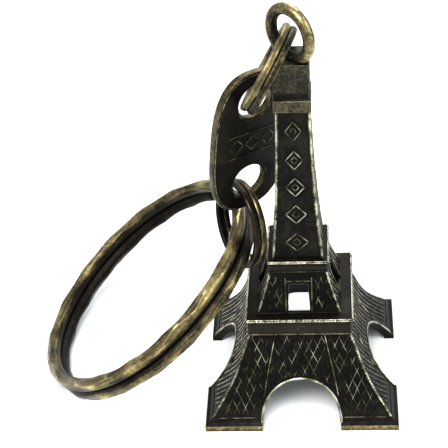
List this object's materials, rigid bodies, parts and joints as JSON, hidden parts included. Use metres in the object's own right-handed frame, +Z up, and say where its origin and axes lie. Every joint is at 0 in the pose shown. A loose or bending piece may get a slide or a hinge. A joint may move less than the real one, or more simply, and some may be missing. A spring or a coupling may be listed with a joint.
{
  "type": "souvenir tower keychain",
  "caption": "Small cast lattice tower in antique bronze, hung by its loop from a split ring, an oval tag, another split ring and a large key ring.",
  "frame": {"origin": "middle of the bounding box in plan, on the plane the tower's feet stand on", "axes": "+Z up the standing tower, from its feet to its loop; +X from the key ring towards the tower; +Y to the back, away from the face that carries the front arch"},
  "size_m": [0.0406, 0.03, 0.0477],
  "materials": {
    "tower_bronze": "antique bronze plating over a zinc casting, dark in the recesses and rubbed bright on the edges",
    "link_bronze": "antique bronze plated wire, lightly rubbed",
    "tag_bronze": "dark antique bronze plating on a stamped plate, worn bright at its edge",
    "ring_bronze": "antique bronze plated wire with hammered facets"
  },
  "bodies": {
    "tower": {"tower": "tower_bronze"},
    "upper_link": {"upper_link": "link_bronze"},
    "tag_plate": {"tag_plate": "tag_bronze"},
    "lower_link": {"lower_link": "link_bronze"},
    "key_ring": {"key_ring": "ring_bronze"}
  },
  "joints": [
    {"name": "upper_link_swing", "type": "hinge", "parent": "tower", "child": "upper_link", "pos_m": [0.00856, -0.00148, 0.04216], "axis": [-0.5886, 0.5886, 0.5541], "range_deg": [0, 38]},
    {"name": "tag_swing", "type": "hinge", "parent": "upper_link", "child": "tag_plate", "pos_m": [0.00529, -0.00069, 0.03556], "axis": [0.2271, 0.9726, 0.0504], "range_deg": [0, 18]},
    {"name": "lower_link_swing", "type": "hinge", "parent": "tag_plate", "child": "lower_link", "pos_m": [0.00396, -0.00012, 0.02242], "axis": [0.7917, 0.6068, -0.0711], "range_deg": [0, 60]},
    {"name": "key_ring_swing", "type": "hinge", "parent": "lower_link", "child": "key_ring", "pos_m": [0.00354, -0.00119, 0.01863], "axis": [0.07, 0.9964, 0.0469], "range_deg": [-10, 80]}
  ]
}
